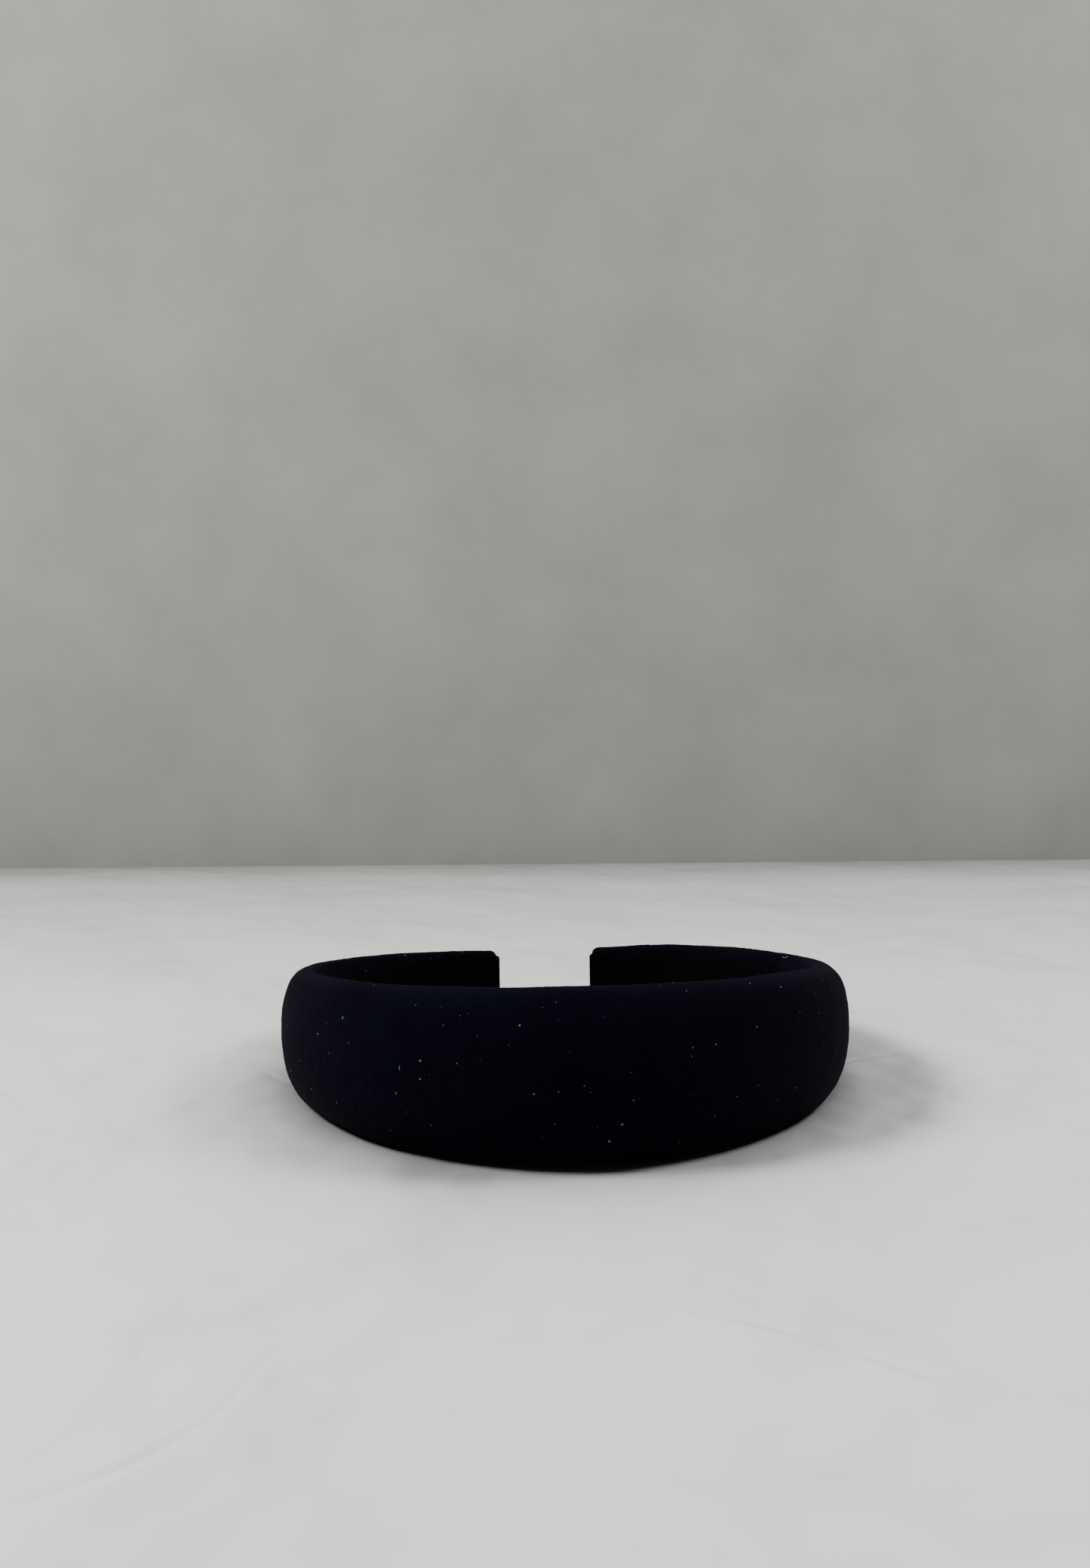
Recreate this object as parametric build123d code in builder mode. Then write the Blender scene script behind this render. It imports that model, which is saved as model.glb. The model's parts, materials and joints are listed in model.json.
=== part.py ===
from build123d import *
from math import atan2, cos, degrees, pi, radians, sin
import os

# A padded velvet headband (an open hoop), lying on its lower edge as it is put down on a table.
# Row frame, millimetres: +Z up from the table, X across the head, the crown of the band at -Y
# and the two tips at +Y. Left is the -X side.
#
# The hoop lies in its own band plane, tilted a little because the wide crown lifts that end.
# A place on the hoop is given by s, the arc length from the middle of the crown (negative to the
# left), u, the distance outwards from the seat (the inner face of the velvet), and v, the height
# across the band.

# ---- driving dimensions ----

# Seat: the ellipse that the inner face of the velvet follows.
seat_half_width = 64.6
seat_half_depth = 61.7
band_length = 366.0             # arc length along the seat, tip to tip

# Outline across the band: half-height and thickness, at the crown and at the tips.
crown_half_height = 19.05
tip_half_height = 8.25
crown_thickness = 12.5
tip_thickness = 4.6
height_onset, height_fullness = 0.88, 1.2     # how the half-height falls off from the crown
thickness_onset = 0.88
crest_share = 0.3               # the section is tallest at this share of its thickness
fullness = 0.62                 # how square the rounded flanks are (0.55 is an ellipse)
crown_flat_half = 9.5           # half-height of the flat inner face
tip_flat_half = 6.8

# Layers, from the head outwards.
ribbon_half_height = 6.8
ribbon_thickness = 0.5
ribbon_overhang = 0.8           # the ribbon's folded ends stand past the velvet
velvet_thickness = 0.8
glue_thickness = 0.15
core_thickness = 1.5
crown_core_half_height = 11.0
tip_core_half_height = 6.2
tape_thickness = 0.3

# Distances kept between the layers' edges and ends.
margin_window_half = 3.0        # the turned-in velvet margins stop this far from the middle
window_end_gap = 4.0            # and the velvet is closed over this length at each tip
core_end_gap = 0.2
tape_edge_gap = 0.5
tape_end_gap = 9.0
glue_edge_gap = 0.8
glue_end_gap = 3.0
bond_gap = 0.03                 # between two pieces that are stuck or pressed together
tip_corner_radius = 2.0
core_corner_radius = 3.5

# Flex: the hoop bends at two places, each a hinge about the middle of the core.
flex_arc = 58.0
open_degrees = 26.0
close_degrees = 6.0
spare_degrees = 2.0             # what is left of each notch at the end of the travel
flex_gap = 0.3
bead_clearance = 0.1

# How finely the layers are lofted.
stations_per_layer = 25

# ---- the seat line ----

glue_inside = velvet_thickness + bond_gap
core_inside = glue_inside + glue_thickness + bond_gap
core_outside = core_inside + core_thickness
tape_inside = core_outside + bond_gap
tape_outside = tape_inside + tape_thickness
pivot_reach = core_inside + core_thickness / 2
half_length = band_length / 2
far_x = 2 * seat_half_width       # well outside the hoop
far_y = 2 * seat_half_depth
far_up = 2 * crown_half_height
far_out = 2 * crown_thickness
notch_reach = seat_half_depth / 2 # past every layer, on both sides of a flex line

with BuildLine(Plane.XY) as seat:
    EllipticalCenterArc((0, 0), seat_half_width, seat_half_depth, start_angle=-269, arc_size=358)
seat_edge = seat.edges()[0]


def point_at(s):
    """The seat point at arc length s, in the band plane."""
    return seat_edge.position_at(seat_edge.length / 2 + s, PositionMode.LENGTH)


def along_at(s):
    """The unit vector along the band, towards +s."""
    return seat_edge.tangent_at(seat_edge.length / 2 + s, PositionMode.LENGTH)


def outward_at(s):
    """The unit vector out of the hoop, across the band's thickness."""
    return along_at(s).cross(Vector(0, 0, 1))


# ---- how the section changes along the band ----

def fade(s, onset):
    """1 at the crown, falling smoothly to 0 at the tips."""
    share = min(abs(s) / half_length, 1)
    return max(cos(pi / 2 * share ** onset), 0)


def height_fade(s):
    return fade(s, height_onset) ** height_fullness


def half_height(s):
    return tip_half_height + (crown_half_height - tip_half_height) * height_fade(s)


def thickness(s):
    return tip_thickness + (crown_thickness - tip_thickness) * fade(s, thickness_onset)


def flat_half(s):
    return tip_flat_half + (crown_flat_half - tip_flat_half) * height_fade(s)


def core_half_height(s):
    return tip_core_half_height + (crown_core_half_height - tip_core_half_height) * height_fade(s)


def crest(s):
    """How far out the section is tallest."""
    return crest_share * thickness(s)


def layer_arcs(half):
    """Evenly spaced places from one end of a layer to the other."""
    step = 2 * half / (stations_per_layer - 1)
    return [-half + n * step for n in range(stations_per_layer)]


# ---- how the hoop rests ----

def edge_depth(s):
    """How far the lower edge stands along Y, in the band plane."""
    return (point_at(s) + outward_at(s) * crest(s)).Y


# The band rests on the middle of the crown and leans towards its tips until its sides touch.
rest_tilt = min(
    atan2(half_height(0) - half_height(s), edge_depth(s) - edge_depth(0))
    for s in layer_arcs(half_length) if s > 0
)
rest_lift = half_height(0) * cos(rest_tilt) + edge_depth(0) * sin(rest_tilt)
front_reach = -point_at(0).Y + thickness(0)
back_reach = max((point_at(s) + outward_at(s) * thickness(s)).Y for s in layer_arcs(half_length))
rest_shift = (front_reach - back_reach) / 2 * cos(rest_tilt)

band_plane = Plane(
    origin=(0, rest_shift, rest_lift),
    x_dir=(1, 0, 0),
    z_dir=(0, sin(rest_tilt), cos(rest_tilt)),
)


def station(s):
    """The plane across the band at s: local x is u, outwards, and local y is v, up."""
    flat = Plane(origin=point_at(s), x_dir=outward_at(s), z_dir=-along_at(s))
    return Plane(band_plane.location * flat.location)


# ---- sections and full-length layers ----

def pad_section(s, inside, outside_inset):
    """The D-shaped section: flat towards the head at u = inside, crowned on the outside."""
    flat = flat_half(s)
    top = half_height(s) - outside_inset
    peak = crest(s)
    outside = thickness(s) - outside_inset
    near = peak - (peak - inside) * fullness
    far = peak + (outside - peak) * fullness
    shoulder = flat + (top - flat) * fullness
    with BuildSketch(station(s)) as section:
        with BuildLine():
            Line((inside, 0), (inside, flat))
            Bezier((inside, flat), (inside, shoulder), (near, top), (peak, top))
            Bezier((peak, top), (far, top), (outside, top * fullness), (outside, 0))
            mirror(about=Plane.XZ)
        make_face()
    return section.sketch


def pad_layer(inside, outside_inset, half):
    """A full-length layer with the D-shaped section."""
    with BuildPart() as layer:
        loft([pad_section(s, inside, outside_inset) for s in layer_arcs(half)])
    return layer.part


def seat_offset(s, u):
    """The point u outwards from the seat at s, in the band plane."""
    point = point_at(s) + outward_at(s) * u
    return (point.X, point.Y)


def strip_layer(inside, outside, top, half):
    """A full-length strip between two values of u, reaching top above and below the middle."""
    with BuildPart() as layer:
        with BuildSketch(band_plane):
            with BuildLine():
                near = Spline(*[seat_offset(s, inside) for s in layer_arcs(half)])
                far = Spline(*[seat_offset(s, outside) for s in layer_arcs(half)])
                Line(near @ 0, far @ 0)
                Line(near @ 1, far @ 1)
            make_face()
        extrude(amount=top, both=True)
    return layer.part


def side_profile(top):
    """All that is within top(s) of the middle, as the hoop is seen from its side."""
    rim = [(seat_offset(s, pivot_reach)[1], top(s)) for s in layer_arcs(half_length) if s >= 0]
    side_plane = Plane(origin=band_plane.origin, x_dir=band_plane.y_dir, z_dir=band_plane.x_dir)
    with BuildPart() as profile:
        with BuildSketch(side_plane):
            with BuildLine():
                Polyline(rim[0], (-far_y, top(0)), (-far_y, 0), (far_y, 0), (far_y, rim[-1][1]), rim[-1])
                Spline(*rim)
            make_face()
            mirror(about=Plane.XZ)
        extrude(amount=far_x, both=True)
    return profile.part


def tip_corners(end, top, radius):
    """What is cut away to round the upper and lower corners of both ends of a layer."""
    with BuildPart() as corners:
        for side in (-1, 1):
            across = station(side * end)
            along = across.z_dir * -side
            with BuildSketch(Plane(origin=across.origin, x_dir=along, z_dir=across.x_dir)):
                Rectangle(2 * radius, 4 * top)
                with Locations((-2 * radius, 0)):
                    RectangleRounded(4 * radius, 2 * top, radius, mode=Mode.SUBTRACT)
            extrude(amount=far_out, both=True)
    return corners.part


# ---- the layers, each over the whole length of the hoop ----

lining_half = half_length - velvet_thickness
core_half = lining_half - core_end_gap
lining_corners = tip_corners(
    lining_half, half_height(lining_half) - velvet_thickness, tip_corner_radius - velvet_thickness,
)

with BuildPart() as whole_core:
    add(strip_layer(core_inside, core_outside, crown_core_half_height, core_half))
    add(side_profile(core_half_height), mode=Mode.INTERSECT)
    add(tip_corners(core_half, core_half_height(core_half), core_corner_radius), mode=Mode.SUBTRACT)

with BuildPart() as whole_tape:
    add(strip_layer(tape_inside, tape_outside, crown_core_half_height, half_length - tape_end_gap))
    add(side_profile(lambda s: core_half_height(s) - tape_edge_gap), mode=Mode.INTERSECT)

with BuildPart() as core_pocket:
    add(strip_layer(0, tape_outside + bond_gap, crown_core_half_height + bond_gap, half_length))
    add(side_profile(lambda s: core_half_height(s) + bond_gap), mode=Mode.INTERSECT)

with BuildPart() as whole_foam:
    add(pad_layer(core_inside, velvet_thickness + bond_gap, lining_half - bond_gap))
    add(core_pocket.part, mode=Mode.SUBTRACT)
    add(lining_corners, mode=Mode.SUBTRACT)

with BuildPart() as velvet_hollow:
    add(pad_layer(velvet_thickness, velvet_thickness, lining_half))
    add(lining_corners, mode=Mode.SUBTRACT)

with BuildPart() as whole_cover:
    add(pad_layer(0, 0, half_length))
    add(tip_corners(half_length, half_height(half_length), tip_corner_radius), mode=Mode.SUBTRACT)
    add(velvet_hollow.part, mode=Mode.SUBTRACT)
    add(strip_layer(
        -velvet_thickness, 2 * velvet_thickness, margin_window_half, half_length - window_end_gap,
    ), mode=Mode.SUBTRACT)

with BuildPart() as whole_margin_glue:
    add(strip_layer(
        glue_inside, glue_inside + glue_thickness, crown_core_half_height, half_length - glue_end_gap,
    ))
    add(side_profile(lambda s: core_half_height(s) - glue_edge_gap), mode=Mode.INTERSECT)
    add(strip_layer(0, core_outside, margin_window_half, half_length), mode=Mode.SUBTRACT)

with BuildPart() as whole_ribbon_glue:
    add(strip_layer(
        0, core_inside - bond_gap, margin_window_half - bond_gap,
        half_length - window_end_gap - bond_gap,
    ))

with BuildPart() as whole_ribbon:
    add(strip_layer(
        -bond_gap - ribbon_thickness, -bond_gap, ribbon_half_height, half_length + ribbon_overhang,
    ))


# ---- where the hoop flexes ----

def pivot(side):
    """The flex axis, in the band plane: the middle of the core's thickness."""
    s = side * flex_arc
    return point_at(s) + outward_at(s) * pivot_reach


def notch_line(side, towards_tip):
    """One face of a flex notch, as three points from inside the hoop to outside it."""
    s = side * flex_arc
    step = along_at(s) * (side * towards_tip)
    out = outward_at(s)
    inner_turn = radians(close_degrees + spare_degrees) / 2
    outer_turn = radians(open_degrees + spare_degrees) / 2
    middle = pivot(side) + step * (flex_gap / 2)
    inner = middle + (step * sin(inner_turn) - out * cos(inner_turn)) * notch_reach
    outer = middle + (step * sin(outer_turn) + out * cos(outer_turn)) * notch_reach
    return [inner, middle, outer]


def crown_outline():
    """The part of the band plane that moves with the crown."""
    left = notch_line(-1, -1)
    right = notch_line(1, -1)
    around = [(far_x, right[2].Y), (far_x, -far_y), (-far_x, -far_y), (-far_x, left[2].Y)]
    return [*left[::-1], *right, *around]


def arm_outline(side):
    """The part of the band plane that moves with one arm."""
    face = notch_line(side, 1)
    return [*face, (side * far_x, face[2].Y), (side * far_x, far_y), (0, far_y), (0, face[0].Y)]


bodies = {
    "crown": crown_outline(),
    "left_arm": arm_outline(-1),
    "right_arm": arm_outline(1),
}
layers = {
    "core": whole_core.part,
    "foam_tape": whole_tape.part,
    "foam": whole_foam.part,
    "cover": whole_cover.part,
    "margin_glue": whole_margin_glue.part,
    "ribbon_glue": whole_ribbon_glue.part,
    "ribbon": whole_ribbon.part,
}


def flex_beads(radius, height):
    """Round bars about the two flex axes: a nose on the crown's core, or the hollow it turns in."""
    with BuildPart() as beads:
        with BuildSketch(band_plane):
            with Locations(pivot(-1), pivot(1)):
                Circle(radius)
        extrude(amount=height, both=True)
    return beads.part


nose = flex_beads(core_thickness / 2 - bead_clearance / 2, core_half_height(flex_arc + core_thickness))
socket = flex_beads(core_thickness / 2 + bead_clearance / 2, crown_half_height)


# ---- the pieces ----

os.makedirs("parts", exist_ok=True)

for body, outline in bodies.items():
    for layer, solid in layers.items():
        with BuildPart() as piece:
            add(solid)
            with BuildSketch(band_plane):
                Polygon(*outline, align=None)
            extrude(amount=far_up, both=True, mode=Mode.INTERSECT)
            if layer == "core" and body == "crown":
                add(nose)
            elif layer == "core":
                add(socket, mode=Mode.SUBTRACT)
        piece.part.label = f"{layer}_{body}"
        export_step(piece.part, f"parts/{layer}_{body}.step")

print(f"rest tilt {degrees(rest_tilt):.2f} deg, lift {rest_lift:.2f}, shift {rest_shift:.2f}")
for side in (-1, 1):
    print("flex pivot", band_plane.from_local_coords(pivot(side)), "axis", band_plane.z_dir)
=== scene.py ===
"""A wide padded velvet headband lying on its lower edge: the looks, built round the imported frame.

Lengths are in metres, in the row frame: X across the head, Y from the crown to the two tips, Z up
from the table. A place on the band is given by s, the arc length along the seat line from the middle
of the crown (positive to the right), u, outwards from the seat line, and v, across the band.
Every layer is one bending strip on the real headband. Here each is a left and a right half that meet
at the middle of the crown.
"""

import json
from math import cos, pi, radians, sin

import bmesh
import bpy
import numpy as np
from mathutils import Matrix, Vector


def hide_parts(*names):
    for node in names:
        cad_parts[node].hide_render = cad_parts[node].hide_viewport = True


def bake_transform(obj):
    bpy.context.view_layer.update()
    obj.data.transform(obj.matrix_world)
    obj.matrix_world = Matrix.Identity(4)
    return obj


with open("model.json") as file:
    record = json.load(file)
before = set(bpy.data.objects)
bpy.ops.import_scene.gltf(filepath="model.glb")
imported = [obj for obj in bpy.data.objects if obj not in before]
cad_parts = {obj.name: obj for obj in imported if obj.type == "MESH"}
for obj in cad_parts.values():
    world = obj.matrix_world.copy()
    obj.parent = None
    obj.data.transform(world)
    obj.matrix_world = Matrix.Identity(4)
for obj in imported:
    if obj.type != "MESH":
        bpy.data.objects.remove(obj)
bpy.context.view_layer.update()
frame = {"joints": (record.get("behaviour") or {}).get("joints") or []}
mm = 0.001

# ---- sizes that the band's layers are made to ----

seat_half_width, seat_half_depth = 64.6 * mm, 61.7 * mm
half_length = 183 * mm
crown_half_height, tip_half_height = 19.05 * mm, 8.25 * mm
crown_thickness, tip_thickness = 12.5 * mm, 4.6 * mm
onset, height_fullness = 0.88, 1.2           # how soon the band narrows, and how fast its height does
crest_share, fullness = 0.3, 0.62            # how far out the upper edge lies, and how full the flanks are
crown_flat_half, tip_flat_half = 9.5 * mm, 6.8 * mm
least_flank, least_shoulder = 0.1 * mm, 0.4 * mm

velvet_thickness = 0.8 * mm
margin_window_half = 3 * mm       # the turned-in margins stop this far from the middle
window_end_gap = 4 * mm
bond_gap = 0.03 * mm
glue_thickness = 0.15 * mm
core_thickness = 1.5 * mm
crown_core_half, tip_core_half = 11 * mm, 6.2 * mm
tape_thickness = 0.3 * mm
ribbon_half, ribbon_thickness, ribbon_overhang = 6.8 * mm, 0.5 * mm, 0.8 * mm
ribbon_half_length = half_length + ribbon_overhang
flex_arc = 58 * mm

glue_inside = velvet_thickness + bond_gap
core_inside = glue_inside + glue_thickness + bond_gap
core_outside = core_inside + core_thickness
tape_inside = core_outside + bond_gap
tape_outside = tape_inside + tape_thickness
pivot_reach = core_inside + core_thickness / 2

sides = {"left": -1, "right": 1}


# ---- the band's own frame ----

def unit(vectors):
    return vectors / np.linalg.norm(vectors, axis=-1, keepdims=True)


def seat_table():
    """Angles round the seat ellipse from the crown, and the arc length to each."""
    angle = np.linspace(0, radians(178), 6001)
    speed = np.hypot(seat_half_width * np.cos(angle), seat_half_depth * np.sin(angle))
    steps = (speed[1:] + speed[:-1]) / 2 * np.diff(angle)
    return angle, np.concatenate([[0], np.cumsum(steps)])


seat_angle, seat_arc = seat_table()


def seat(s):
    """The seat line's points at arc lengths s and its outward directions, in the band plane."""
    angle = np.sign(s) * np.interp(np.abs(s), seat_arc, seat_angle)
    point = np.stack([seat_half_width * np.sin(angle), -seat_half_depth * np.cos(angle)], -1)
    out = np.stack([seat_half_depth * np.sin(angle), -seat_half_width * np.cos(angle)], -1)
    return point, unit(out)


def joint(name):
    return next(j for j in frame["joints"] if j["name"] == name)


wide_dir = np.array((1.0, 0.0, 0.0))
up_dir = unit(np.array(joint("left_flex")["axis"], float))
deep_dir = np.cross(up_dir, wide_dir)


def flex_place(side):
    """The flex axis of one side, in the band plane."""
    point, out = seat(np.array(side * flex_arc))
    return point + out * pivot_reach


band_origin = np.array(joint("right_flex")["pos_m"]) \
    - wide_dir * flex_place(1)[0] - deep_dir * flex_place(1)[1]


def place(s, u, v):
    """Row-frame points of places on the band; s, u and v are arrays of one shape."""
    s, u, v = np.broadcast_arrays(np.asarray(s, float), u, v)
    point, out = seat(s)
    flat = point + out * u[..., None]
    return band_origin + flat[..., :1] * wide_dir + flat[..., 1:] * deep_dir + v[..., None] * up_dir


# ---- how the section changes along the band ----

def fade(s):
    """1 at the crown, falling smoothly to 0 at the tips."""
    share = np.minimum(np.abs(s) / half_length, 1)
    return np.maximum(np.cos(pi / 2 * share ** onset), 0)


def between(tip, crown, s):
    return tip + (crown - tip) * fade(s) ** height_fullness


def half_height(s):
    return between(tip_half_height, crown_half_height, s)


def thickness(s):
    return tip_thickness + (crown_thickness - tip_thickness) * fade(s)


def core_half(s):
    return between(tip_core_half, crown_core_half, s)


def bezier(points, t):
    a, b, c, d = (np.asarray(p, float) for p in points)
    t = t[:, None]
    return a * (1 - t) ** 3 + 3 * b * t * (1 - t) ** 2 + 3 * c * t * t * (1 - t) + d * t ** 3


curve_steps = np.linspace(0, 1, 49)


def swelling(s, middle, reach):
    """1 at one place along the band, falling smoothly to 0 on both sides of it."""
    return np.exp(-((s - middle) / reach) ** 2)


# (drift, middle along the band, reach) of each place where the band's upper flank is off the pattern,
# and of the one where its outer face is
upper_drifts = ((-1.25 * mm, 96 * mm, 34 * mm), (0.45 * mm, 164 * mm, 14 * mm),
                (0.3 * mm, -70 * mm, 25 * mm), (-0.2 * mm, 10 * mm, 22 * mm))
outward_drift, outward_middle, outward_reach = -0.4 * mm, -88 * mm, 34 * mm


def slouch(s, ring):
    """The section at s with its upper flank and outer face a little off the pattern, as in the photo."""
    upper = sum(drift * swelling(s, middle, reach) for drift, middle, reach in upper_drifts)
    outward = outward_drift * swelling(s, outward_middle, outward_reach)
    flat, top = between(tip_flat_half, crown_flat_half, s), half_height(s)
    rise = np.clip((ring[:, 1] - flat) / (top - flat), 0, 1)
    out = np.clip(ring[:, 0] / thickness(s), 0, 1)
    moved = ring.copy()
    moved[:, 1] += upper * rise * rise * (3 - 2 * rise)
    moved[:, 0] += outward * out * out
    return moved


def pad_outline(s, inside, inset):
    """The upper half of the D-shaped section at s as (u, v), from the flat inner face outwards."""
    flat = between(tip_flat_half, crown_flat_half, s)
    top = half_height(s) - inset
    peak = max(crest_share * thickness(s), inside + least_flank)
    far = thickness(s) - inset
    flat = min(flat, top - least_shoulder)
    shoulder = flat + (top - flat) * fullness
    rise = [(inside, flat), (inside, shoulder), (peak - (peak - inside) * fullness, top), (peak, top)]
    fall = [(peak, top), (peak + (far - peak) * fullness, top), (far, top * fullness), (far, 0)]
    return np.vstack([bezier(rise, curve_steps), bezier(fall, curve_steps)[1:]])


def resampled(line, count):
    """count points spaced evenly along a line."""
    run = np.concatenate([[0], np.cumsum(np.linalg.norm(np.diff(line, axis=0), axis=1))])
    at = np.linspace(0, run[-1], count)
    return np.stack([np.interp(at, run, line[:, k]) for k in range(line.shape[1])], -1)


def both_flanks(upper):
    """A section line from its lower end, round the outside, to its upper end."""
    return np.vstack([upper * (1, -1), upper[-2::-1]])


# ---- meshes ----

weld_distance = 0.002 * mm


def make_piece(name, points, faces, material, crease=50, weld=False):
    """A smooth mesh object, facing outwards. Edges sharper than
    crease degrees stay sharp."""
    mesh = bpy.data.meshes.new(name)
    mesh.from_pydata(np.asarray(points, float).reshape(-1, 3), [], faces)
    work = bmesh.new()
    work.from_mesh(mesh)
    if weld:
        bmesh.ops.remove_doubles(work, verts=work.verts, dist=weld_distance)
    if work.calc_volume(signed=True) < 0:
        bmesh.ops.reverse_faces(work, faces=work.faces)
    work.to_mesh(mesh)
    work.free()
    mesh.polygons.foreach_set("use_smooth", np.full(len(mesh.polygons), True))
    mesh.set_sharp_from_angle(angle=radians(crease))
    piece = bpy.data.objects.new(name, mesh)
    bpy.context.scene.collection.objects.link(piece)
    mesh.materials.append(material)
    keep_rest_place(piece)
    bend(piece)
    return piece


def stand_for(layer, side):
    """The piece shows one half of a layer, in place of its CAD solids on the crown and on that arm."""
    arm = "left_arm" if side < 0 else "right_arm"
    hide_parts(f"{layer}_crown", f"{layer}_{arm}")


def keep_rest_place(piece):
    """Stores each point's place at rest, which the materials read."""
    place_of = np.empty(len(piece.data.vertices) * 3, np.float32)
    piece.data.vertices.foreach_get("co", place_of)
    rest = piece.data.attributes.new("rest", "FLOAT_VECTOR", "POINT")
    rest.data.foreach_set("vector", place_of)


def bend(piece):
    """Bakes the piece's transform into its mesh."""
    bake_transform(piece)


def grid_faces(rows, columns, first=0, closed=False):
    """Quads of a grid of points whose rows follow each other; closed joins the last column to the first."""
    row = np.arange(rows - 1)[:, None] * columns
    column = np.arange(columns if closed else columns - 1)[None, :]
    after = (column + 1) % columns
    quads = np.stack([row + column, row + after, row + columns + after, row + columns + column], -1)
    return quads.reshape(-1, 4) + first


def bar(name, side, arcs, section, material, layer):
    """A closed strip: section(a) gives its (u, v) ring at each distance a from the middle."""
    rings = [section(a) for a in arcs]
    count = len(rings[0])
    points = np.concatenate([place(side * a, ring[:, 0], ring[:, 1]) for a, ring in zip(arcs, rings)])
    faces = grid_faces(len(arcs), count, closed=True).tolist()
    faces += [list(range(count))[::-1], list(range((len(arcs) - 1) * count, len(arcs) * count))]
    piece = make_piece(name, points, faces, material)
    stand_for(layer, side)
    return piece


def rounded_box(u0, u1, v0, v1, radius, across=2):
    """A (u, v) ring of a rectangle with rounded corners, across points to each long side."""
    ring = []
    for cu, cv, start in ((u1, v1, 0), (u0, v1, 90), (u0, v0, 180), (u1, v0, 270)):
        du, dv = (-radius if cu == u1 else radius), (-radius if cv == v1 else radius)
        for turn in (0, 30, 60, 90):
            a = radians(start + turn)
            ring.append((cu + du + radius * cos(a), cv + dv + radius * sin(a)))
    corners = np.array(ring).reshape(4, 4, 2)
    filled = []
    for n, corner in enumerate(corners):
        after = corners[(n + 1) % 4, 0]
        filled.append(corner)
        if n % 2 == 1:                # the long sides follow the second and the fourth corner
            share = np.linspace(0, 1, across + 2)[1:-1, None]
            filled.append(corner[-1] + (after - corner[-1]) * share)
    return np.vstack(filled)


# ---- materials ----

class Nodes:
    """Short calls for building a material's nodes."""

    def __init__(self, name):
        self.material = bpy.data.materials.new(name)
        self.material.use_nodes = True
        self.tree = self.material.node_tree
        self.shader = self.tree.nodes["Principled BSDF"]

    def node(self, kind, inputs=None, **values):
        made = self.tree.nodes.new(kind)
        for key, value in values.items():
            setattr(made, key, value)
        for key, value in (inputs or {}).items():
            if isinstance(value, bpy.types.NodeSocket):
                self.tree.links.new(value, made.inputs[key])
            else:
                made.inputs[key].default_value = value
        return made

    def rest(self, stretch=(1, 1, 1)):
        """The point's place at rest."""
        place_of = self.node("ShaderNodeAttribute", attribute_name="rest").outputs["Vector"]
        return self.node("ShaderNodeVectorMath", {0: place_of, 1: stretch}, operation="MULTIPLY").outputs[0]

    def noise(self, size, detail=2.0, rough=0.5, vector=None):
        """Noise whose features are about size across."""
        return self.node("ShaderNodeTexNoise", {
            "Vector": vector or self.rest(), "Scale": 1 / size, "Detail": detail, "Roughness": rough,
        }).outputs["Fac"]

    def ramp(self, value, stops):
        made = self.node("ShaderNodeValToRGB", {"Fac": value})
        elements = made.color_ramp.elements
        while len(elements) < len(stops):
            elements.new(0.5)
        for element, (at, colour) in zip(elements, stops):
            element.position = at
            element.color = (*colour, 1) if hasattr(colour, "__len__") else (colour, colour, colour, 1)
        return made.outputs["Color"]

    def math(self, kind, a, b=0.0, clamp=False):
        return self.node("ShaderNodeMath", {0: a, 1: b}, operation=kind, use_clamp=clamp).outputs[0]

    def mix(self, share, a, b):
        made = self.node("ShaderNodeMix", data_type="RGBA")
        for socket, value in ((made.inputs[0], share), (made.inputs[6], a), (made.inputs[7], b)):
            if isinstance(value, bpy.types.NodeSocket):
                self.tree.links.new(value, socket)
            elif hasattr(value, "__len__"):
                socket.default_value = (*value, 1)
            else:
                socket.default_value = value
        return made.outputs[2]

    def bump(self, height, depth, strength=1.0):
        """Bumps depth metres high."""
        made = self.node("ShaderNodeBump", {"Height": height, "Distance": depth, "Strength": strength})
        self.link(made.outputs["Normal"], "Normal")

    def link(self, output, name):
        self.tree.links.new(output, self.shader.inputs[name])

    def set(self, **values):
        for name, value in values.items():
            self.shader.inputs[name.replace("_", " ")].default_value = value
        return self


# (spacing, stretch, size as a share of the spacing) of each scatter of lint specks
speck_scatters = ((2.6 * mm, (1, 1, 1), 0.11), (3.0 * mm, (0.35, 1.2, 1.5), 0.08),
                  (2.8 * mm, (1.5, 1.3, 0.3), 0.08))


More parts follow.
